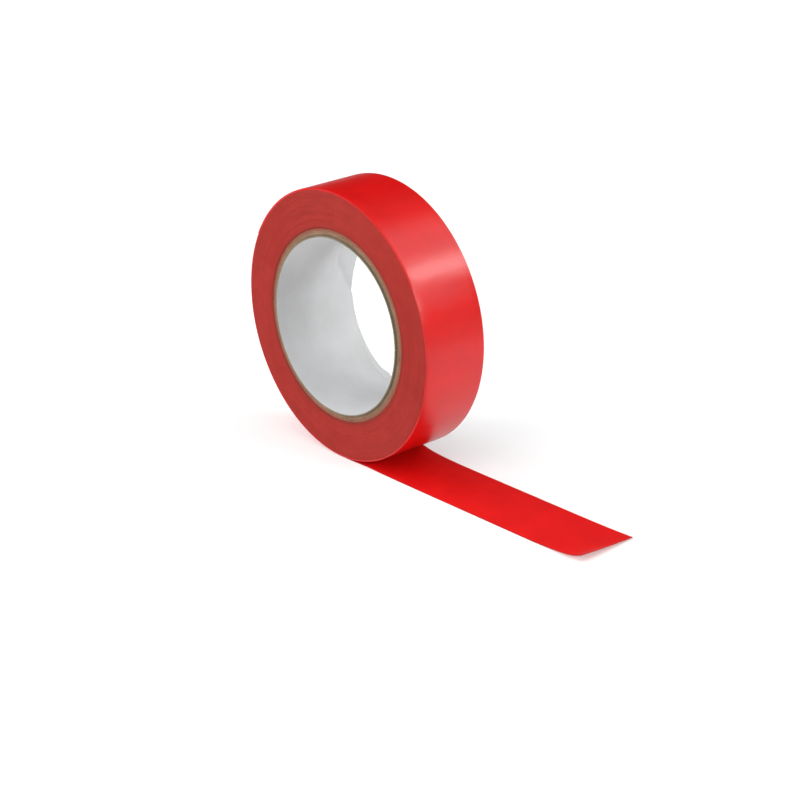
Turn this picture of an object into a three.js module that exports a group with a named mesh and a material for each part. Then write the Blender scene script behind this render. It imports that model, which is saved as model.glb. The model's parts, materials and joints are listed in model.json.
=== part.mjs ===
// A roll of PVC electrical tape, 15 mm wide and 10 m long on a 38 mm paper core, standing on its own
// tape, with the free tail laid out in front of it. Millimetres, +Z up.
//
// The axis of the roll lies along Y, 28.88 mm above the origin. The origin is on the underside of the
// tape, straight below that axis, and the tail runs along +X.
//
// The strip is too flexible for one rigid solid, so it is divided into short links that hinge on
// lines across it. Wound up, the links stand at 15 degrees to each other around the roll. Drawn off,
// they lie in one plane. The hinge lines lie on the adhesive face, which is the inner face of a turn.
import * as THREE from 'three';

// Tape
const TAPE_WIDTH = 15;
const TAPE_THICKNESS = 0.13;
const LINK_ANGLE = THREE.MathUtils.degToRad(15);
const LINK_GAP = 0.03;
const TURN_LINKS = 7;
const TAIL_LINKS = 9;
const TAIL_LENGTH = 72;
const CURLED_LINKS = 2;
const CURL_PER_LINK = THREE.MathUtils.degToRad(5);

// Roll
const WOUND_RADIUS = 28.65;
const WRAP_CLEARANCE = 0.1;
const FACETS = 96;

// Core
const BORE_RADIUS = 19;
const LINER_THICKNESS = 0.25;
const LINER_WIDTH = 20;
const CORE_RADIUS = 20.7;
const CORE_OVAL = 0.46;
const CORE_OVAL_ANGLE = THREE.MathUtils.degToRad(33);
const PLY_COUNT = 4;
const GLUE_GAP = 0.03;
const SEAM_WIDTH = 0.4;

// Worked out from the sizes above
const STRIP_RADIUS = WOUND_RADIUS + WRAP_CLEARANCE;
const ROLL_RADIUS = STRIP_RADIUS + TAPE_THICKNESS;
const LINK_PITCH = 2 * STRIP_RADIUS * Math.tan(LINK_ANGLE / 2);
const TIP_LENGTH = TAIL_LENGTH - (TAIL_LINKS - 0.5) * LINK_PITCH;
const FRONT_FACE_Y = -TAPE_WIDTH / 2;
const PLY_PITCH = (CORE_RADIUS - BORE_RADIUS - LINER_THICKNESS) / PLY_COUNT;

const TAPE_SIDE = { color: 0xb23634, roughness: 0.75, metalness: 0 };
const TAPE_BACKING = { color: 0xe31b18, roughness: 0.38, metalness: 0 };
const TAPE_ADHESIVE = { color: 0xd81210, roughness: 0.5, metalness: 0 };
const KRAFT = { color: 0x9e8c70, roughness: 0.95, metalness: 0 };
const LINER_PAPER = { color: 0xd8d8d8, roughness: 0.85, metalness: 0 };

function named(name, geometry, finish) {
  const mesh = new THREE.Mesh(geometry, new THREE.MeshStandardMaterial(finish));
  mesh.name = name;
  return mesh;
}

// The core has been squeezed slightly oval. This is the radius of a layer of it, or of the bore in
// the winding, at an angle from +X towards +Z.
function ovalRadius(meanRadius, angle) {
  return meanRadius + CORE_OVAL * Math.cos(2 * (angle - CORE_OVAL_ANGLE));
}

// A strip of paper bent into a tube about Y, open at a narrow seam. It starts at the front face.
function paperTube(innerRadius, thickness, width, seamAngle) {
  const geometry = new THREE.BoxGeometry(1, 1, 1, FACETS, 1, 1);
  const position = geometry.attributes.position;
  const seam = SEAM_WIDTH / innerRadius;
  for (let i = 0; i < position.count; i += 1) {
    const along = position.getX(i) + 0.5;
    const across = position.getY(i) + 0.5;
    const outwards = 0.5 - position.getZ(i);
    const angle = seamAngle + seam / 2 + along * (2 * Math.PI - seam);
    const radius = ovalRadius(innerRadius + outwards * thickness, angle);
    position.setXYZ(
      i,
      radius * Math.cos(angle),
      FRONT_FACE_Y + across * width,
      radius * Math.sin(angle),
    );
  }
  return geometry;
}

// The white paper that lines the bore. It is wider than the tape and stands out of the far side.
function coreLiner() {
  const geometry = paperTube(BORE_RADIUS, LINER_THICKNESS, LINER_WIDTH, 0);
  return named('core_liner', geometry, LINER_PAPER);
}

// One layer of the brown board. The seams of neighbouring layers lie well apart, as in any wound tube.
function corePly(number) {
  const innerRadius = BORE_RADIUS + LINER_THICKNESS + GLUE_GAP + (number - 1) * PLY_PITCH;
  const seamAngle = (number * 2 * Math.PI) / (PLY_COUNT + 0.5);
  const geometry = paperTube(innerRadius, PLY_PITCH - GLUE_GAP, TAPE_WIDTH, seamAngle);
  return named(`core_ply_${number}`, geometry, KRAFT);
}

// How far the outline of the wound turns stands above WOUND_RADIUS. It is 0 where loose links can lie
// on it. From there it climbs to the strip's outer face, where the last of the links joins it.
function outlineRise(angle) {
  const climbStart = (TAIL_LINKS + 1) * LINK_ANGLE;
  const climbEnd = 2 * Math.PI - (TURN_LINKS + 0.5) * LINK_ANGLE;
  const climbed = (angle - climbStart) / (climbEnd - climbStart);
  return climbed > 1 ? 0 : Math.max(climbed, 0) * (ROLL_RADIUS - WOUND_RADIUS);
}

// All the turns that stay wound: one bonded ring, whose outline has a step where the strip leaves it.
function woundTurns() {
  const outline = new THREE.Shape();
  for (let i = 0; i < FACETS; i += 1) {
    const angle = ((i + 0.5) / FACETS) * 2 * Math.PI;
    const radius = WOUND_RADIUS + outlineRise(angle);
    const point = [radius * Math.sin(angle), -radius * Math.cos(angle)];
    if (i === 0) outline.moveTo(...point);
    else outline.lineTo(...point);
  }
  const bore = new THREE.Path();
  for (let i = 0; i < FACETS; i += 1) {
    const angle = (i / FACETS) * 2 * Math.PI;
    const radius = ovalRadius(CORE_RADIUS + GLUE_GAP, angle);
    const point = [radius * Math.cos(angle), radius * Math.sin(angle)];
    if (i === 0) bore.moveTo(...point);
    else bore.lineTo(...point);
  }
  outline.holes.push(bore);
  const geometry = new THREE.ExtrudeGeometry(outline, {
    depth: TAPE_WIDTH,
    bevelEnabled: false,
  });
  geometry.translate(0, 0, -TAPE_WIDTH / 2);
  geometry.rotateX(Math.PI / 2);
  return named('wound_turns', geometry, TAPE_SIDE);
}

function stripLink(name, finish, pitch = LINK_PITCH) {
  const size = [pitch - LINK_GAP, TAPE_WIDTH, TAPE_THICKNESS];
  return named(name, new THREE.BoxGeometry(...size), finish);
}

// The wound part of the strip: each link lies against the roll, one link angle after the last.
function turnLink(number) {
  const link = stripLink(`turn_${number}`, TAPE_BACKING);
  link.position.z = -(STRIP_RADIUS + TAPE_THICKNESS / 2);
  const aboutRollAxis = new THREE.Group();
  aboutRollAxis.rotation.y = number * LINK_ANGLE;
  aboutRollAxis.add(link);
  return aboutRollAxis;
}

function tapeUnderRoll() {
  const link = stripLink('tape_under_roll', TAPE_ADHESIVE);
  link.position.z = TAPE_THICKNESS / 2;
  return link;
}

// The tail lies flat with its adhesive face up, and its last links curl up. Each link is built on its
// own hinge line, at the end of the link before it.
function tail() {
  const root = new THREE.Group();
  root.position.set(LINK_PITCH / 2, 0, TAPE_THICKNESS);
  let hinge = root;
  for (let number = 1; number <= TAIL_LINKS; number += 1) {
    const pitch = number < TAIL_LINKS ? LINK_PITCH : TIP_LENGTH;
    const link = stripLink(`tail_${number}`, TAPE_ADHESIVE, pitch);
    link.position.set(pitch / 2, 0, -TAPE_THICKNESS / 2);
    const next = new THREE.Group();
    next.position.x = pitch;
    if (number > TAIL_LINKS - CURLED_LINKS) hinge.rotation.y = -CURL_PER_LINK;
    hinge.add(link, next);
    hinge = next;
  }
  return root;
}

const roll = new THREE.Group();
roll.position.z = ROLL_RADIUS;
roll.add(coreLiner(), woundTurns());
for (let number = 1; number <= PLY_COUNT; number += 1) roll.add(corePly(number));
for (let number = 1; number <= TURN_LINKS; number += 1) roll.add(turnLink(number));

const tapeRoll = new THREE.Group();
tapeRoll.add(roll, tapeUnderRoll(), tail());

export default tapeRoll;
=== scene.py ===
import json
import math

import bmesh
import bpy
import numpy as np
from mathutils import Matrix, Vector, noise


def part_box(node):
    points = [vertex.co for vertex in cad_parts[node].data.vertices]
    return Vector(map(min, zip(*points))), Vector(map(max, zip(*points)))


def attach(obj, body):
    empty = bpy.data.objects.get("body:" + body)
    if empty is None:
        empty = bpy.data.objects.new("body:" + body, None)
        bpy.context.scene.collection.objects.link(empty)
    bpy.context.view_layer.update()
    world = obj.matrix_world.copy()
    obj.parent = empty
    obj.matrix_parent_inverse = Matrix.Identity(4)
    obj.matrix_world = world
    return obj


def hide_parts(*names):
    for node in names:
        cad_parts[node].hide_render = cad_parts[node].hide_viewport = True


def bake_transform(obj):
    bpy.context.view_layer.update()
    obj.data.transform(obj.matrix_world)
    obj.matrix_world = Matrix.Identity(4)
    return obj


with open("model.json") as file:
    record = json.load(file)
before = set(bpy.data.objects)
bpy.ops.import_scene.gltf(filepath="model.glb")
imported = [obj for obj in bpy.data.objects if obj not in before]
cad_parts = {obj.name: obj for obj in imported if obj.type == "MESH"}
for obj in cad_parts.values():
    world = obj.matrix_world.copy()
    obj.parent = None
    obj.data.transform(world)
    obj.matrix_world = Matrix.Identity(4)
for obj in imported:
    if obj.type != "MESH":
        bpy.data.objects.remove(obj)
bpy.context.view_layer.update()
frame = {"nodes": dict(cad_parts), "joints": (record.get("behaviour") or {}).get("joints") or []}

# A roll of red PVC electrical tape that stands on its own tape, with the free tail laid out in front.
# The roll's axis lies along Y and the tail runs along +X. The tape comes over the top, down the -X
# side and out at the bottom, so that the tail shows its adhesive face. Metres, +Z up.
#
# Round the roll, a place is given by its bearing in degrees: 0 straight down, 90 towards +X,
# 180 straight up and 270 towards -X.

MM = 0.001

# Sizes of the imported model
foot_low, foot_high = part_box("tape_under_roll")
liner_low, liner_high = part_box("core_liner")
ply_boxes = [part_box(f"core_ply_{number}") for number in range(1, 5)]

TAPE_THICKNESS = foot_high.z - foot_low.z
HALF_WIDTH = foot_high.y
AXIS_HEIGHT = (liner_low.z + liner_high.z) / 2
ROLL_RADIUS = AXIS_HEIGHT - foot_low.z
STRIP_RADIUS = ROLL_RADIUS - TAPE_THICKNESS
LINER_OUTER = (liner_high.z - liner_low.z + liner_high.x - liner_low.x) / 4
PLY_OUTER = [(high.z - low.z + high.x - low.x) / 4 for low, high in ply_boxes]

joints = {joint["name"]: joint for joint in frame["joints"]}
LINK_DEGREES = joints["draw_off"]["range_deg"][1]
TURN_JOINTS = [f"turn_hinge_{k}" for k in range(1, 8)] + ["draw_off"]
TAIL_JOINTS = ["tail_wrap"] + [f"tail_hinge_{k}" for k in range(2, 10)]
LINK_PITCH = 2 * STRIP_RADIUS * math.tan(math.radians(LINK_DEGREES) / 2)

# The winding. The turns' edges show as rings with grooves between them. The rings wander a little, and
# the edges of the outermost turns stand back and carry a painted highlight in the backing's brighter red.
TURNS = 61
LAST_PART_TURN = 0.5
OUTER_FACE_GAP = 0.03 * MM
GROOVE_DEPTH = 0.022 * MM
GROOVE_SHARE = 0.14
EDGE_WANDER = 0.016 * MM
EDGE_WANDERS_A_TURN = 6.3
RIM_TURNS = 3.0
RIM_DROP = 0.22 * MM
# Within this depth of the outer face, the side face takes the backing's brighter red, a painted highlight
# on the outermost turns' slit edges
RIM_HIGHLIGHT_DEPTH = 0.33 * MM
CORNER_ROUNDING = 0.035 * MM
CLIMB_START = 150.0
CLIMB_END = 360.0 - LINK_DEGREES * len(TURN_JOINTS)
EVEN_CLIMB_TURN = 6.0
COLUMN_DEGREES = 1.5
RIM_ROWS = 13

# The core, which has been squeezed slightly oval. The liner stands proud of the near side by
# LINER_PROUD, and LINER_EDGE is the Y where it ends on the far side.
CORE_OVAL = 0.46 * MM
CORE_OVAL_BEARING = 123.0
LINER_THICKNESS = 0.25 * MM
LINER_EDGE = liner_high.y
LINER_PROUD = 0.35 * MM
LINER_SEAM_DEGREES = 0.2
PLY_SEAM_DEGREES = 0.4


def named_object(name, vertices, faces):
    mesh = bpy.data.meshes.new(name)
    mesh.from_pydata(vertices, [], faces)
    mesh.validate()
    mesh.update()
    piece = bpy.data.objects.new(name, mesh)
    bpy.context.scene.collection.objects.link(piece)
    return piece


def sweep(name, loops, sharp_degrees=35.0, surface=None):
    """A closed solid through a row of closed loops, each with the same number of points, with a cap at
    both ends. surface gives a UV pair for every loop and point, so that a pattern stays on the tape
    when the piece bends."""
    count = len(loops[0])
    vertices = [tuple(point) for loop in loops for point in loop]
    faces = []
    for row in range(len(loops) - 1):
        for k in range(count):
            after = (k + 1) % count
            here, there = row * count, (row + 1) * count
            faces.append((here + k, there + k, there + after, here + after))
    last = (len(loops) - 1) * count
    faces.append(tuple(range(count)))
    faces.append(tuple(last + k for k in reversed(range(count))))
    piece = named_object(name, vertices, faces)
    face_outwards(piece)
    if surface is not None:
        layer = piece.data.uv_layers.new(name="surface")
        for corner in piece.data.loops:
            layer.data[corner.index].uv = surface[corner.vertex_index]
    smooth_by_angle(piece, sharp_degrees)
    return piece


def face_outwards(piece):
    shape = bmesh.new()
    shape.from_mesh(piece.data)
    bmesh.ops.recalc_face_normals(shape, faces=shape.faces)
    shape.to_mesh(piece.data)
    shape.free()


def smooth_by_angle(piece, degrees):
    piece.data.shade_smooth()
    piece.data.set_sharp_from_angle(angle=math.radians(degrees))


def around(radius, bearing, y):
    """The point at that radius and bearing about the roll's axis."""
    angle = math.radians(bearing)
    return (radius * math.sin(angle), y, AXIS_HEIGHT - radius * math.cos(angle))


def oval(radius, bearing):
    """The radius of a layer of the core at that bearing."""
    return radius + CORE_OVAL * math.cos(2 * math.radians(bearing - CORE_OVAL_BEARING))


def smooth_step(value, start, end):
    share = min(max((value - start) / (end - start), 0.0), 1.0)
    return share * share * (3 - 2 * share)


def bell(value, middle, half_width):
    """1 in the middle, falling off to either side."""
    return math.exp(-(((value - middle) / half_width) ** 2))


def wander(*place):
    """Smooth noise from about -1 to 1, the same each run."""
    return noise.noise(Vector(place))


# ---------------------------------------------------------------- the winding

def turn_radius(turn, bearing):
    """The outer radius of a turn, with turn 0 outermost. bearing runs on from CLIMB_END once round.
    The outer turns climb by one thickness between CLIMB_START and CLIMB_END, and the inner ones
    all the way round. The turns lie closer together where the core is wide."""
    late = smooth_step(bearing - 360.0, CLIMB_START, CLIMB_END)
    if turn == 0:
        return STRIP_RADIUS - OUTER_FACE_GAP * (1 - late) + TAPE_THICKNESS * late
    once_round = (bearing - CLIMB_END) / 360.0
    evenly = min(turn / EVEN_CLIMB_TURN, 1.0)
    risen = late + (once_round - late) * evenly
    outer = STRIP_RADIUS - OUTER_FACE_GAP
    pitch = (outer - bore_radius(bearing)) / (TURNS + LAST_PART_TURN)
    return outer - (turn - risen) * pitch


def bore_radius(bearing):
    """The radius of the bore in the winding, which the core fills."""
    return oval(PLY_OUTER[-1] + OUTER_FACE_GAP, bearing)


def rim_drop(turns_in):
    """How far a tape edge near the rim stands back from the side face."""
    return RIM_DROP * max(0.0, 1 - turns_in / RIM_TURNS) ** 2


def winding_side(bearing, side):
    """The points down one side face in one column, from the rim to the core, turn by turn."""
    points = []
    for turn in range(TURNS):
        outer = turn_radius(turn, bearing)
        inner = turn_radius(turn + 1, bearing)
        along = turn - (bearing - CLIMB_END) / 360.0
        uneven = EDGE_WANDER * wander(along * EDGE_WANDERS_A_TURN, side * 9.0, 0.5)
        edge = HALF_WIDTH - rim_drop(turn + 1) + uneven
        shoulder = GROOVE_SHARE * (outer - inner)
        points.append((outer - shoulder, side * edge))
        points.append((inner + shoulder, side * edge))
        points.append((inner, side * (edge - GROOVE_DEPTH)))
    return points


def winding_column(bearing):
    """One closed section through the winding."""
    rim = turn_radius(0, bearing)
    bore = bore_radius(bearing)
    front = winding_side(bearing, -1)
    back = winding_side(bearing, 1)
    reach = HALF_WIDTH - rim_drop(0) - CORNER_ROUNDING
    outside = [(rim, share * reach) for share in np.linspace(1, -1, RIM_ROWS)]
    section = front + [(bore, front[-1][1]), (bore, back[-1][1])] + back[::-1] + outside
    return [around(radius, bearing, y) for radius, y in section]


def make_winding():
    loops = []
    surface = []
    for bearing in np.arange(CLIMB_END, CLIMB_END + 360.0 + 0.01, COLUMN_DEGREES):
        loop = winding_column(bearing)
        loops.append(loop)
        for x, y, z in loop:
            above_core = math.hypot(x, z - AXIS_HEIGHT) - bore_radius(bearing)
            surface.append((above_core, y))
    return sweep("wound_tape", loops, sharp_degrees=50.0, surface=surface)


# ---------------------------------------------------------------- the strip

# The tail's tip curls up. Each corner has its distance from the foot and its height off the floor. Part
# of the near corner's curl comes gradually, and the rest sharply at the end.
TAIL_CURL_START = 54 * MM
NEAR_CORNER = (71.2 * MM, 1.7 * MM)
FAR_CORNER = (70.2 * MM, 0.32 * MM)
GRADUAL_CURL = 0.45
# The tape clings to the roll past the foot, least at its near edge, and then fades down to the floor.
# The sharper the cling, the more suddenly the one turns into the other.
CLING_HEIGHT = 0.85 * MM
CLING_REACH = 9.8 * MM
CLING_FADE = 3.6 * MM
NEAR_CLING = 0.15
CLING_SHARPNESS = 4
FOOT_HALF_LENGTH = 0.1 * MM
STRIP_ROWS = 14
STRIP_STEPS = 20
STRIP_HALF_WIDTH = HALF_WIDTH - RIM_DROP
SLIT_ROUNDING = 0.03 * MM
CUT_WANDER = 0.03 * MM


def tip_curl(x, across):
    """How far the tail's tip has curled off the floor. across is 0 at the near edge, 1 at the far."""
    share = max(0.0, (x - TAIL_CURL_START) / (NEAR_CORNER[0] - TAIL_CURL_START))
    near = NEAR_CORNER[1] * (GRADUAL_CURL * share ** 2 + (1 - GRADUAL_CURL) * share ** 8)
    far = FAR_CORNER[1] * share ** 3
    return near + (far - near) * across


def cling(x, across):
    """How far the tape is lifted at that distance from the foot: it follows the roll's surface at
    first, and then fades down to the floor."""
    if x <= FOOT_HALF_LENGTH:
        return 0.0
    roll = ROLL_RADIUS - math.sqrt(ROLL_RADIUS ** 2 - min(x, ROLL_RADIUS / 2) ** 2)
    fading = CLING_HEIGHT * math.exp((CLING_REACH - x) / CLING_FADE)
    lower = (roll ** -CLING_SHARPNESS + fading ** -CLING_SHARPNESS) ** (-1 / CLING_SHARPNESS)
    return lower * (NEAR_CLING + (1 - NEAR_CLING) * across)


def across_strip(y):
    """0 at the strip's near edge and 1 at its far edge."""
    return (y + STRIP_HALF_WIDTH) / (2 * STRIP_HALF_WIDTH)


def strip_point(place, y, height):
    """A point of the strip. place counts links from the middle of the foot: less than 0 round the
    roll and more than 0 along the tail. height is the distance above the backing."""
    if place <= 0:
        return around(ROLL_RADIUS - height, 360.0 + place * LINK_DEGREES, y)
    across = across_strip(y)
    x = place * LINK_PITCH
    return (x, y, foot_low.z + height + tip_curl(x, across) + cling(x, across))


def strip_section():
    """The strip's cross-section as (y, height) pairs, with its slit edges slightly rounded."""
    rows = np.linspace(-1, 1, STRIP_ROWS + 1) * (STRIP_HALF_WIDTH - SLIT_ROUNDING)
    backing = [(y, 0.0) for y in rows]
    adhesive = [(y, TAPE_THICKNESS) for y in rows[::-1]]
    far_edge = [(STRIP_HALF_WIDTH, SLIT_ROUNDING), (STRIP_HALF_WIDTH, TAPE_THICKNESS - SLIT_ROUNDING)]
    near_edge = [(-y, height) for y, height in reversed(far_edge)]
    return backing + far_edge + adhesive + near_edge


def places_fine_at_ends(start, end, steps):
    """Places from start to end, closer together at both ends, so that pieces meet smoothly."""
    shares = 0.5 - 0.5 * np.cos(np.linspace(0, math.pi, steps + 1))
    return start + (end - start) * shares


def strip_piece(name, start, end, cut=None):
    """The strip from one place to another. cut(across) is the place of a slanting end cut."""
    section = strip_section()
    loops = []
    surface = []
    for place in places_fine_at_ends(start, end, STRIP_STEPS):
        loop = []
        for y, height in section:
            reach = 1.0 if cut is None else (cut(across_strip(y)) - start) / (end - start)
            at = start + (place - start) * reach
            loop.append(strip_point(at, y, height))
            surface.append((at * LINK_PITCH, y))
        loops.append(loop)
    return sweep(name, loops, sharp_degrees=40.0, surface=surface)


def end_cut(across):
    """The place where the tail is cut off: a nearly square cut with a faintly wavy edge."""
    x = NEAR_CORNER[0] + (FAR_CORNER[0] - NEAR_CORNER[0]) * across
    return (x + CUT_WANDER * wander(across * 9.0, 2.0, 0.0)) / LINK_PITCH


def make_strip():
    """One piece over each joint, from the middle of one link to the middle of the next."""
    pieces = []
    for number, name in enumerate(TURN_JOINTS, 1):
        piece = strip_piece(f"turn_strip_{number}", -number, -(number - 1))
        joint = joints[name]
        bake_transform(piece)
        if joint["child"] in frame["nodes"]:
            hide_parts(joint["child"])
        pieces.append(piece)
    tip = NEAR_CORNER[0] / LINK_PITCH
    for number, name in enumerate(TAIL_JOINTS, 1):
        last = number == len(TAIL_JOINTS)
        end_place = tip if last else float(number)
        piece = strip_piece(f"tail_strip_{number}", number - 1.0, end_place, end_cut if last else None)
        joint = joints[name]
        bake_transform(piece)
        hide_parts(joint["child"])
        if number == 1:
            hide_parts("tape_under_roll")
        pieces.append(piece)
    return pieces


# ---------------------------------------------------------------- the core

# The cut end of a layer of board: the shares of its thickness where it has points, how far it stands
# back from the tape's side, how much further every other layer does, how far its corners are worn down,
# and how rough it is
PLY_END_SHARES = (0.0, 0.12, 0.5, 0.88, 1.0)
PLY_SET_BACK = 0.05 * MM
PLY_STAGGER = 0.02 * MM
PLY_WORN_CORNER = 0.05 * MM
PLY_ROUGH_END = 0.03 * MM
PLY_SEAM_SPACING = 80.0
PLY_COLUMNS = 241


def ply_end(number, bearing, side):
    """The points across one cut end of a layer, from the inside to the outside."""
    inner = LINER_OUTER if number == 1 else PLY_OUTER[number - 2]
    outer = PLY_OUTER[number - 1]
    points = []
    for share in PLY_END_SHARES:
        worn = PLY_WORN_CORNER * (2 * share - 1) ** 4
        rough = PLY_ROUGH_END * wander(bearing * 0.35, number * 3.0 + share * 2.0, side * 5.0)
        level = HALF_WIDTH - PLY_SET_BACK - PLY_STAGGER * (number % 2) - worn + rough
        points.append((inner + (outer - inner) * share, side * level))
    return points


def make_ply(number):
    """One layer of brown board, with a seam. Its cut ends are slightly uneven, as board is."""
    seam = PLY_SEAM_SPACING * number
    start, end = seam + PLY_SEAM_DEGREES / 2, seam + 360 - PLY_SEAM_DEGREES / 2
    loops = []
    for bearing in np.linspace(start, end, PLY_COLUMNS):
        loop = ply_end(number, bearing, -1) + ply_end(number, bearing, 1)[::-1]
        loops.append([around(oval(radius, bearing), bearing, y) for radius, y in loop])
    piece = sweep(f"kraft_ply_{number}", loops, sharp_degrees=60.0)
    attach(piece, "roll")
    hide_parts(f"core_ply_{number}")
    return piece


# Creases in the part of the liner that stands out of the core. Each has a line of (bearing, y in mm)
# points and the width and depth of the groove in mm.
CREASES = [
    ([(248, 7.3), (254, 8.2), (259, 9.4), (264.5, 10.3), (269, 10.9), (275, 12.2)], 0.8, 0.30),
    ([(312, 10.9), (319, 10.9), (328, 10.5), (333, 10.4), (336.5, 10.5), (341, 10.2)], 0.3, 0.16),
    ([(40, 9.0), (46, 10.2), (52, 13.2)], 0.3, 0.12),
    ([(140, 9.5), (133, 10.4), (128, 13.2)], 0.3, 0.12),
]
# Further than this past its ends, a crease isn't looked for
CREASE_ROOM_DEGREES = 8
# Creases only show past the core's end, and fade in over this distance either side of it
CORE_END_BLUR = 0.5 * MM
# A loose place, where the paper bulges inwards: its bearing, its y, its two half-sizes and its height
BULGE_BEARING = 331.0
BULGE_Y = 8.7 * MM
BULGE_LENGTH = 2.6 * MM
BULGE_WIDTH = 1.5 * MM
BULGE_HEIGHT = 0.30 * MM


def crease_distance(points, bearing, y):
    """How far a place on the liner is from a crease's line, along the paper."""
    arc = math.radians(1) * LINER_OUTER
    line = [(place * arc, level * MM) for place, level in points]
    here = np.array([bearing * arc, y])
    nearest = math.inf
    for (x0, y0), (x1, y1) in zip(line, line[1:]):
        start = np.array([x0, y0])
        run = np.array([x1 - x0, y1 - y0])
        share = min(max(float((here - start) @ run) / float(run @ run), 0.0), 1.0)
        nearest = min(nearest, float(np.linalg.norm(here - start - run * share)))
    return nearest


def fold_height(bearing, y):
    """How far the creases and the loose place move the paper inwards there."""
    free = smooth_step(y, HALF_WIDTH - CORE_END_BLUR, HALF_WIDTH + CORE_END_BLUR)
    moved = 0.0
    for points, width, depth in CREASES:
        bearings = [place for place, _ in points]
        if min(bearings) - CREASE_ROOM_DEGREES < bearing < max(bearings) + CREASE_ROOM_DEGREES:
            off = crease_distance(points, bearing, y)
            moved -= free * depth * MM * bell(off, 0.0, width * MM)
    along = math.radians(bearing - BULGE_BEARING) * LINER_OUTER / BULGE_LENGTH
    across = (y - BULGE_Y) / BULGE_WIDTH
    return moved + BULGE_HEIGHT * math.exp(-(along ** 2) - across ** 2)


# The free edge of the liner. It is cut at a slant, so it stands out furthest at one bearing and least
# opposite to it, with EDGE_SLANT as half the difference. An ear stands out further, and another place is
# ragged. Both have a bearing and a half-width in degrees. The edge also wanders, and it curls inwards.
EDGE_SLANT = 0.62 * MM
EDGE_SLANT_BEARING = 215.0
EAR_HEIGHT = 0.45 * MM
EAR_BEARING = 252.0
EAR_DEGREES = 12.0
RAGGED_HEIGHT = 0.5 * MM
RAGGED_BEARING = 337.0
RAGGED_DEGREES = 4.0
FREE_EDGE_WANDER = 0.04 * MM
FRONT_EDGE_WANDER = 0.03 * MM
EDGE_CURL = 0.14 * MM
EDGE_CURL_REACH = 0.22 * MM
# About how far the paper stands off a true tube, past the core's end and anywhere
FREE_SLACK = 0.12 * MM
LOOSE_SLACK = 0.05 * MM
# The rows and columns of the liner's mesh. The rows get closer from HIDDEN_LENGTH inside the core's end,
# and closer still in the last FINE_LENGTH. The columns are closer from CREASED_START to CREASED_END.
HIDDEN_LENGTH = 1.0 * MM
FINE_LENGTH = 1.3 * MM
LINER_ROWS = (18, 24, 14)
LINER_SEAM_BEARING = 90
CREASED_START = 235
CREASED_END = 355
LINER_COLUMNS = (145, 240, 96)


def liner_edge(bearing):
    """Where the free edge of the liner ends."""
    slant = EDGE_SLANT * (math.cos(math.radians(bearing - EDGE_SLANT_BEARING)) - 1)
    ear = EAR_HEIGHT * bell(bearing, EAR_BEARING, EAR_DEGREES)
    torn = 1 + 0.5 * wander(bearing * 1.7, 0, 0)
    ragged = RAGGED_HEIGHT * torn * bell(bearing, RAGGED_BEARING, RAGGED_DEGREES)
    return LINER_EDGE + slant + ear + ragged + FREE_EDGE_WANDER * wander(bearing * 0.6, 4.0, 0.0)


def liner_inset(bearing, y):
    """How far the liner stands inwards of a true tube there."""
    free = smooth_step(y, HALF_WIDTH - HIDDEN_LENGTH, LINER_EDGE)
    east = math.cos(math.radians(bearing))
    north = math.sin(math.radians(bearing))
    slack = FREE_SLACK * free * (1 + wander(east * 2, north * 2, 1))
    loose = LOOSE_SLACK * max(0.0, wander(east * 3, north * 3, y / MM * 0.12))
    curl = EDGE_CURL * math.exp((y - liner_edge(bearing)) / EDGE_CURL_REACH)
    return slack + loose + curl + fold_height(bearing, y)


def spaced(stops, counts):
    """Rising numbers from the first stop to the last, with that many of them between each two stops."""
    stretches = []
    for start, end, count in zip(stops, stops[1:], counts):
        stretches.append(np.linspace(start, end, count, endpoint=end == stops[-1]))
    return np.concatenate(stretches)


def liner_rows(front, edge):
    """Places along the liner, closer together where it stands out of the core and at its free edge."""
    return spaced((front, HALF_WIDTH - HIDDEN_LENGTH, edge - FINE_LENGTH, edge), LINER_ROWS)


def liner_bearings():
    """Bearings once round from the seam, closer together where the liner is creased."""
    start = LINER_SEAM_BEARING + LINER_SEAM_DEGREES / 2
    end = LINER_SEAM_BEARING + 360 - LINER_SEAM_DEGREES / 2
    return spaced((start, CREASED_START, CREASED_END, end), LINER_COLUMNS)


def make_liner():
    loops = []
    surface = []
    for bearing in liner_bearings():
        edge = liner_edge(bearing % 360)
        inside = []
        outside = []
        front = liner_low.y - LINER_PROUD + FRONT_EDGE_WANDER * wander(bearing * 0.5, 7.0, 0.0)
        for y in liner_rows(front, edge):
            inset = liner_inset(bearing % 360, y)
            inside.append((LINER_OUTER - LINER_THICKNESS - inset, y))
            outside.append((LINER_OUTER - inset, y))
        loop = inside + outside[::-1]
        loops.append([around(oval(radius, bearing), bearing, y) for radius, y in loop])
        surface += [(math.radians(bearing) * LINER_OUTER, y) for _, y in loop]
    piece = sweep("paper_liner", loops, sharp_degrees=50.0, surface=surface)
    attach(piece, "roll")
    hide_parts("core_liner")
    return piece


# ---------------------------------------------------------------- materials

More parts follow.
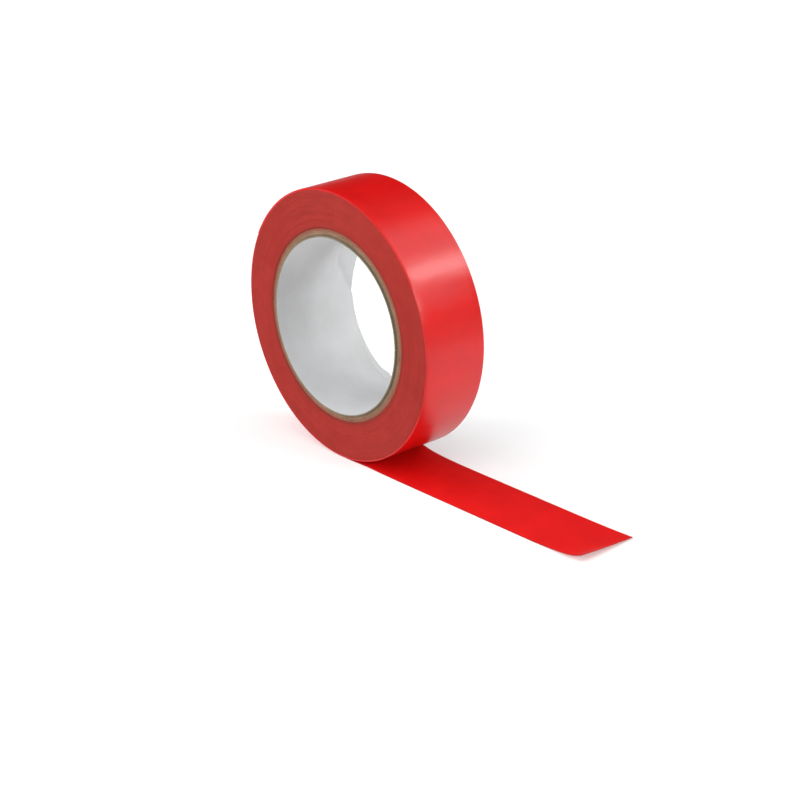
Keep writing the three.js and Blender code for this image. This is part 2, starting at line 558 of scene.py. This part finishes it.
class Nodes:
    """A short way to write a material's nodes."""

    def __init__(self, name):
        self.material = bpy.data.materials.new(name)
        self.material.use_nodes = True
        self.tree = self.material.node_tree
        self.shader = self.tree.nodes["Principled BSDF"]

    def add(self, kind, settings=None, **inputs):
        node = self.tree.nodes.new(kind)
        for key, value in (settings or {}).items():
            setattr(node, key, value)
        for key, value in inputs.items():
            self.put(node.inputs[key.replace("_", " ")], value)
        return node

    def put(self, socket, value):
        if isinstance(value, bpy.types.NodeSocket):
            self.tree.links.new(value, socket)
        else:
            socket.default_value = value

    def math(self, operation, first, second=0.0):
        node = self.add("ShaderNodeMath", {"operation": operation})
        for socket, value in zip(node.inputs, (first, second)):
            self.put(socket, value)
        return node.outputs[0]

    def noise(self, vector, scale, detail=3.0, roughness=0.55):
        node = self.add("ShaderNodeTexNoise", Vector=vector, Scale=scale, Detail=detail,
                        Roughness=roughness)
        return node.outputs[0]

    def weighted(self, first, second, second_share):
        """The mean of two values, with second_share of the second."""
        return self.math("ADD", self.math("MULTIPLY", first, 1 - second_share),
                         self.math("MULTIPLY", second, second_share))

    def ramp(self, value, stops):
        """A colour by value, from (position, colour) stops."""
        node = self.add("ShaderNodeValToRGB", Fac=value)
        elements = node.color_ramp.elements
        while len(elements) < len(stops):
            elements.new(0.5)
        for element, (position, colour) in zip(elements, stops):
            element.position = position
            element.color = (*colour, 1.0)
        return node.outputs[0]

    def between(self, value, low, high):
        """value from 0 to 1, spread from low to high."""
        node = self.add("ShaderNodeMapRange", Value=value)
        node.inputs["To Min"].default_value = low
        node.inputs["To Max"].default_value = high
        return node.outputs[0]

    def mix(self, share, first, second):
        node = self.add("ShaderNodeMix", {"data_type": "RGBA"})
        self.put(node.inputs[0], share)
        self.put(node.inputs[6], first)
        self.put(node.inputs[7], second)
        return node.outputs[2]

    def stretched(self, vector, scale):
        return self.add("ShaderNodeMapping", Vector=vector, Scale=scale).outputs[0]

    def bump(self, height, distance):
        node = self.add("ShaderNodeBump", Height=height, Distance=distance)
        self.put(self.shader.inputs["Normal"], node.outputs[0])

    def finish(self, **inputs):
        for key, value in inputs.items():
            self.put(self.shader.inputs[key.replace("_", " ")], value)
        return self.material


def place_in_object(nodes):
    return nodes.add("ShaderNodeTexCoord").outputs["Object"]


def place_on_surface(nodes):
    return nodes.add("ShaderNodeUVMap", {"uv_map": "surface"}).outputs[0]


# The scales of the noise textures are in cells per metre, and grains are depths in metres. The textures'
# values lie mostly between these two.
NOISE_LOW = 0.3
NOISE_HIGH = 0.7

RED = (0.62, 0.0025, 0.0021)
DEEP_RED = (0.54, 0.0012, 0.0012)
BACKING_ROUGHNESS = 0.29
BACKING_GRAIN = 0.000012
ADHESIVE_ROUGHNESS = 0.45
ADHESIVE_GRAIN = 0.000008
ADHESIVE_STRENGTH = 1.1
CLOUDY_GLOSS = 0.03


def satin_red(name, place_of, roughness, grain, strength=1.0):
    """Calendered PVC film: an even red with a fine grain and slightly cloudy gloss."""
    nodes = Nodes(name)
    place = place_of(nodes)
    clouds = nodes.noise(place, scale=160.0)
    fine = nodes.noise(nodes.stretched(place, (1.0, 3.0, 1.0)), scale=2600.0, detail=4.0, roughness=0.6)
    deep, full = ((red * strength, green, blue) for red, green, blue in (DEEP_RED, RED))
    colour = nodes.ramp(clouds, [(NOISE_LOW, deep), (NOISE_HIGH, full)])
    gloss_clouds = nodes.noise(place, scale=420.0)
    gloss = nodes.between(gloss_clouds, roughness - CLOUDY_GLOSS, roughness + CLOUDY_GLOSS)
    nodes.bump(fine, grain)
    return nodes.finish(Base_Color=colour, Roughness=gloss, IOR=1.5)


SLIT_RED_DARK = (0.28, 0.018, 0.013)
SLIT_RED_LIGHT = (0.357, 0.026, 0.020)
# Painted shade on the first turns of the side face, where they meet the core: how far out it reaches, its
# dark red and its strength
CORE_SHADE_REACH = 0.9 * MM
CORE_SHADE_RED = (0.19, 0.02, 0.014, 1.0)
CORE_SHADE_STRENGTH = 0.8
RINGS_PER_METRE = 1400.0
BREAKS_PER_METRE = 55.0
SLIT_GRAIN = 0.00004


def slit_side(name, core_shade_strength):
    """The matte slit edges of the turns, with faint rings. The second argument sets how strongly a
    painted shade darkens the first turns, where they meet the core."""
    nodes = Nodes(name)
    place = place_in_object(nodes)
    parts = nodes.add("ShaderNodeSeparateXYZ", Vector=place)
    x = parts.outputs[0]
    height = nodes.math("SUBTRACT", parts.outputs[2], AXIS_HEIGHT)
    square = nodes.math("ADD", nodes.math("MULTIPLY", x, x), nodes.math("MULTIPLY", height, height))
    radius = nodes.math("SQRT", square)
    ring_place = nodes.add("ShaderNodeCombineXYZ", X=nodes.math("MULTIPLY", radius, RINGS_PER_METRE),
                           Y=nodes.math("MULTIPLY", x, BREAKS_PER_METRE),
                           Z=nodes.math("MULTIPLY", height, BREAKS_PER_METRE)).outputs[0]
    rings = nodes.noise(ring_place, scale=1.0, roughness=0.6)
    mottle = nodes.noise(place, scale=260.0, detail=4.0, roughness=0.6)
    shade = nodes.weighted(rings, mottle, 0.5)
    colour = nodes.ramp(shade, [(NOISE_LOW, SLIT_RED_DARK), (NOISE_HIGH, SLIT_RED_LIGHT)])
    above_core = nodes.add("ShaderNodeSeparateXYZ", Vector=place_on_surface(nodes)).outputs[0]
    core_shade = nodes.add("ShaderNodeMapRange", Value=above_core)
    core_shade.inputs["From Max"].default_value = CORE_SHADE_REACH
    core_shade.inputs["To Min"].default_value = core_shade_strength
    core_shade.inputs["To Max"].default_value = 0.0
    colour = nodes.mix(core_shade.outputs[0], colour, CORE_SHADE_RED)
    nodes.bump(nodes.noise(place, scale=2400.0), SLIT_GRAIN)
    return nodes.finish(Base_Color=colour, Roughness=0.8, IOR=1.4, Specular_IOR_Level=0.25)


# The board's browns, with where each is in the noise, and the tint of each layer from the inside out.
# The outer two layers' red is partly adhesive stain and partly a painted reflection of the red tape.
KRAFT_BROWNS = [(0.25, (0.133, 0.077, 0.048)), (0.5, (0.235, 0.144, 0.096)), (0.8, (0.33, 0.21, 0.145))]
PLY_STAIN_AND_REFLECTION_TINTS = [(0.78, 0.84, 0.77), (1.05, 1.02, 0.90), (1.0, 0.78, 0.72), (1.0, 0.60, 0.52)]
KRAFT_GRAIN = 0.00008


def kraft_board(number):
    """Brown board made of fibres. The innermost layer is greyer than the others, and the outer two are
    redder and darker, partly from adhesive stain and partly from a painted reflection of the red tape."""
    nodes = Nodes(f"kraft_board_{number}")
    place = place_in_object(nodes)
    fibres = nodes.noise(place, scale=1800.0, detail=5.0, roughness=0.7)
    patches = nodes.noise(place, scale=220.0)
    shade = nodes.weighted(fibres, patches, 0.4)
    tint = PLY_STAIN_AND_REFLECTION_TINTS[number - 1]
    stops = [(position, tuple(np.multiply(brown, tint))) for position, brown in KRAFT_BROWNS]
    nodes.bump(fibres, KRAFT_GRAIN)
    return nodes.finish(Base_Color=nodes.ramp(shade, stops), Roughness=0.95, IOR=1.4)


PAPER_DARK = (0.50, 0.503, 0.507)
PAPER_LIGHT = (0.58, 0.585, 0.593)
PAPER_CUT_DARK = (0.18, 0.155, 0.11)
PAPER_CUT_LIGHT = (0.24, 0.21, 0.155)
PAPER_GRAIN = 0.00003


def liner_paper(name, dark, light):
    """Smooth paper with fine fibres, slightly cloudy."""
    nodes = Nodes(name)
    place = place_in_object(nodes)
    fibres = nodes.noise(place, scale=2200.0, detail=4.0, roughness=0.65)
    clouds = nodes.noise(place, scale=130.0)
    shade = nodes.weighted(fibres, clouds, 0.7)
    colour = nodes.ramp(shade, [(NOISE_LOW, dark), (NOISE_HIGH, light)])
    nodes.bump(fibres, PAPER_GRAIN)
    return nodes.finish(Base_Color=colour, Roughness=0.6, IOR=1.45)


# ---------------------------------------------------------------- camera, floor and light

def aimed(back, tilt_degrees=0.0):
    """The rotation of a camera or lamp that looks along -back, turned about its line of sight. Also its
    right and up directions before that turn."""
    forward = -back.normalized()
    right = forward.cross(Vector((0, 0, 1))).normalized()
    up = right.cross(forward)
    turn = math.radians(tilt_degrees)
    side = math.cos(turn) * right + math.sin(turn) * up
    top = -math.sin(turn) * right + math.cos(turn) * up
    return Matrix((side, top, back.normalized())).transposed(), right, up


# The photograph's view: where the camera stands and how it is tilted, in degrees, and how far it is and
# what it looks at, in radii of the roll. It looks at a point right of the roll's middle and below it.
CAMERA_AZIMUTH = 50.66
CAMERA_ELEVATION = 21.742
CAMERA_TILT = -2.13
CAMERA_DISTANCE = 16.268
AIM_RIGHT = 0.2369
AIM_DOWN = 0.5955
LENS_MM = 102.74
SENSOR_MM = 36.0


def make_camera():
    azimuth = math.radians(CAMERA_AZIMUTH)
    elevation = math.radians(CAMERA_ELEVATION)
    back = Vector((math.sin(azimuth) * math.cos(elevation), -math.cos(azimuth) * math.cos(elevation),
                   math.sin(elevation)))
    rotation, right, up = aimed(back, CAMERA_TILT)
    target = Vector((0, 0, AXIS_HEIGHT)) + ROLL_RADIUS * (AIM_RIGHT * right - AIM_DOWN * up)
    place = target + back * CAMERA_DISTANCE * ROLL_RADIUS
    data = bpy.data.cameras.new("camera")
    data.lens = LENS_MM
    data.sensor_width = SENSOR_MM
    data.clip_start = 0.01
    data.clip_end = 20.0
    camera = bpy.data.objects.new("camera", data)
    camera.matrix_world = Matrix.Translation(place) @ rotation.to_4x4()
    bpy.context.scene.collection.objects.link(camera)
    bpy.context.scene.camera = camera


# The soft lights face the point at this X and at the height of the roll's axis. Each has a direction from
# there, a distance in metres, its two sides in metres and its power in watts. The first two make the
# highlight on the right of the roll, one its core and the other its wide fringe. The next two shine into
# the core from the right, behind the roll.
LIT_X = 0.02
SOFTBOXES = {
    "key": ((0.54, 0.64, 0.57), 0.6, (0.10, 0.10), 0.60),
    "key_fringe": ((0.3, 0.6, 0.75), 0.7, (0.4, 0.4), 0.76),
    "bore_high": ((0.85, 0.35, 0.40), 0.7, (0.14, 0.14), 1.2),
    "bore_low": ((0.92, 0.22, 0.30), 0.7, (0.14, 0.14), 0.9),
    "overhead": ((-0.1, -0.25, 1.0), 0.9, (0.9, 0.9), 3.9),
    "front": ((0.1, -1.0, 0.5), 0.9, (0.7, 0.5), 5.0),
    "left": ((-1.0, -0.5, 0.5), 0.9, (0.6, 0.6), 5.0),
}


def softbox(name, direction, distance, size, power):
    """A rectangular soft light that shines from that direction."""
    data = bpy.data.lights.new(name, "AREA")
    data.shape = "RECTANGLE"
    data.size, data.size_y = size
    data.energy = power
    lamp = bpy.data.objects.new(name, data)
    back = Vector(direction).normalized()
    rotation, _, _ = aimed(back)
    lit = Vector((LIT_X, 0, AXIS_HEIGHT))
    lamp.matrix_world = Matrix.Translation(lit + back * distance) @ rotation.to_4x4()
    bpy.context.scene.collection.objects.link(lamp)


# The floor is a wide disc under a small one, each with its radius and its depth. It glows faintly near
# the roll and more further off, so that it stays pale where the lights don't reach. FLOOR_GLOW gives
# that glow's grey by distance in metres.
FLOOR_DISCS = {"floor": (3.0, 0.02 * MM), "floor_near": (0.14, 0.01 * MM)}
FLOOR_GREYS = [(NOISE_LOW, 0.68), (NOISE_HIGH, 0.70)]
FLOOR_GLOW = [(0.15, 0.30), (0.6, 0.80)]
DISC_CORNERS = 96
DOME_RADIUS = 2.95


def greys(stops):
    return [(position, (grey, grey, grey)) for position, grey in stops]


def make_floor():
    """A pale floor. Only the part near the roll shows in the gloss of the tape."""
    nodes = Nodes("floor")
    place = place_in_object(nodes)
    colour = nodes.ramp(nodes.noise(place, scale=3.0, detail=2.0), greys(FLOOR_GREYS))
    reach = nodes.add("ShaderNodeVectorMath", {"operation": "LENGTH"}, Vector=place).outputs["Value"]
    glow = nodes.ramp(reach, greys(FLOOR_GLOW))
    finish = nodes.finish(Base_Color=colour, Roughness=0.9, Specular_IOR_Level=0.1, Emission_Color=glow,
                          Emission_Strength=1.0)
    turns = np.linspace(0, 2 * math.pi, DISC_CORNERS, endpoint=False)
    for name, (radius, depth) in FLOOR_DISCS.items():
        ring = [(radius * math.cos(turn), radius * math.sin(turn), -depth) for turn in turns]
        floor = named_object(name, ring, [tuple(range(DISC_CORNERS))])
        floor.data.materials.append(finish)
        floor.visible_glossy = name == "floor_near"


def make_backdrop():
    """A pale dome, so that a low view has no dark horizon. It neither lights nor shades the tape."""
    nodes = Nodes("backdrop")
    cloudy = nodes.noise(place_in_object(nodes), scale=0.3, detail=1.0)
    pale = nodes.ramp(cloudy, greys([(0.0, 0.98), (1.0, 1.0)]))
    finish = nodes.finish(Base_Color=(0.0, 0.0, 0.0, 1.0), Emission_Color=pale, Emission_Strength=1.0,
                          Specular_IOR_Level=0.0)
    shape = bmesh.new()
    bmesh.ops.create_uvsphere(shape, u_segments=64, v_segments=32, radius=DOME_RADIUS)
    dome = named_object("backdrop", [], [])
    shape.to_mesh(dome.data)
    shape.free()
    dome.data.materials.append(finish)
    dome.visible_diffuse = False
    dome.visible_glossy = False
    dome.visible_transmission = False
    dome.visible_shadow = False


# The sky's grey by the sine of its height. The first one is also the grey below the horizon.
SKY = [(0.0, 0.46), (0.02, 0.04), (0.67, 0.03), (0.73, 0.28)]


def make_world():
    world = bpy.data.worlds.new("studio")
    bpy.context.scene.world = world
    world.use_nodes = True
    tree = world.node_tree
    background = tree.nodes["Background"]
    place = tree.nodes.new("ShaderNodeTexCoord")
    parts = tree.nodes.new("ShaderNodeSeparateXYZ")
    ramp = tree.nodes.new("ShaderNodeValToRGB")
    tree.links.new(place.outputs["Generated"], parts.inputs[0])
    tree.links.new(parts.outputs[2], ramp.inputs[0])
    tree.links.new(ramp.outputs[0], background.inputs[0])
    elements = ramp.color_ramp.elements
    while len(elements) < len(SKY):
        elements.new(0.5)
    for element, (height, grey) in zip(elements, SKY):
        element.position = height
        element.color = (grey, grey, grey, 1)
    background.inputs[1].default_value = 1.0


# A face belongs to a side of a piece if its normal has more than this share along that direction
FACING = 0.5
PAPER_FACING = 0.7


def away_from_axis(face):
    """The direction from the roll's axis to a face."""
    return Vector((face.center.x, 0, face.center.z - AXIS_HEIGHT)).normalized()


def strip_finish(face, backing_side):
    """0 for the backing, 1 for the adhesive face, 2 for the slit and cut edges. backing_side is how far
    the face looks the way the backing does, from -1 to 1."""
    if abs(face.normal.y) > FACING or abs(backing_side) <= FACING:
        return 2
    return 0 if backing_side > 0 else 1


def turn_strip_finish(face):
    return strip_finish(face, face.normal.dot(away_from_axis(face)))


def tail_strip_finish(face):
    return strip_finish(face, -face.normal.z)


def winding_finish(face):
    """0 for the slit side, 1 for the outer face and the rim. On the rim, the outermost turns' slit edges
    take the backing's brighter red as a painted highlight.
    """
    radius = math.hypot(face.center.x, face.center.z - AXIS_HEIGHT)
    return 1 if radius > STRIP_RADIUS - RIM_HIGHLIGHT_DEPTH else 0


def liner_finish(face):
    """0 for the white paper, 1 for its brown cut ends and for the outer face in front of the core."""
    outwards = face.normal.dot(away_from_axis(face)) > 0
    in_front = face.center.y < liner_low.y + LINER_PROUD
    return 1 if abs(face.normal.y) > PAPER_FACING or (outwards and in_front) else 0


def coat(piece, finishes, finish_of):
    """Puts the finishes on a piece. finish_of says which of them a face has."""
    for finish in finishes:
        piece.data.materials.append(finish)
    for face in piece.data.polygons:
        face.material_index = finish_of(face)


def paint(strip, winding, plies, liner):
    backing = satin_red("tape_backing", place_on_surface, BACKING_ROUGHNESS, BACKING_GRAIN)
    adhesive = satin_red("tape_adhesive", place_on_surface, ADHESIVE_ROUGHNESS, ADHESIVE_GRAIN,
                         ADHESIVE_STRENGTH)
    edge = slit_side("slit_edge", 0.0)
    for piece in strip:
        on_roll = piece.name.startswith("turn")
        coat(piece, (backing, adhesive, edge), turn_strip_finish if on_roll else tail_strip_finish)
    # The side face, with painted shade on its first turns next to the core
    side = slit_side("slit_side", CORE_SHADE_STRENGTH)
    # The backing's satin red for the outer face. It also paints a highlight on the slit edges of the
    # rim's outermost turns
    rim = satin_red("winding_backing_and_rim_highlight", place_in_object, BACKING_ROUGHNESS, BACKING_GRAIN)
    coat(winding, (side, rim), winding_finish)
    for number, ply in enumerate(plies, 1):
        ply.data.materials.append(kraft_board(number))
    paper = liner_paper("liner_paper", PAPER_DARK, PAPER_LIGHT)
    cut_edge = liner_paper("liner_cut_edge", PAPER_CUT_DARK, PAPER_CUT_LIGHT)
    coat(liner, (paper, cut_edge), liner_finish)


make_camera()
make_floor()
make_backdrop()
make_world()
for name, (direction, distance, size, power) in SOFTBOXES.items():
    softbox(name, direction, distance, size, power)
winding = make_winding()
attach(winding, "roll")
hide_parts("wound_turns")
strip = make_strip()
plies = [make_ply(number) for number in range(1, 5)]
liner = make_liner()
paint(strip, winding, plies, liner)
bpy.context.scene.view_settings.view_transform = "Standard"
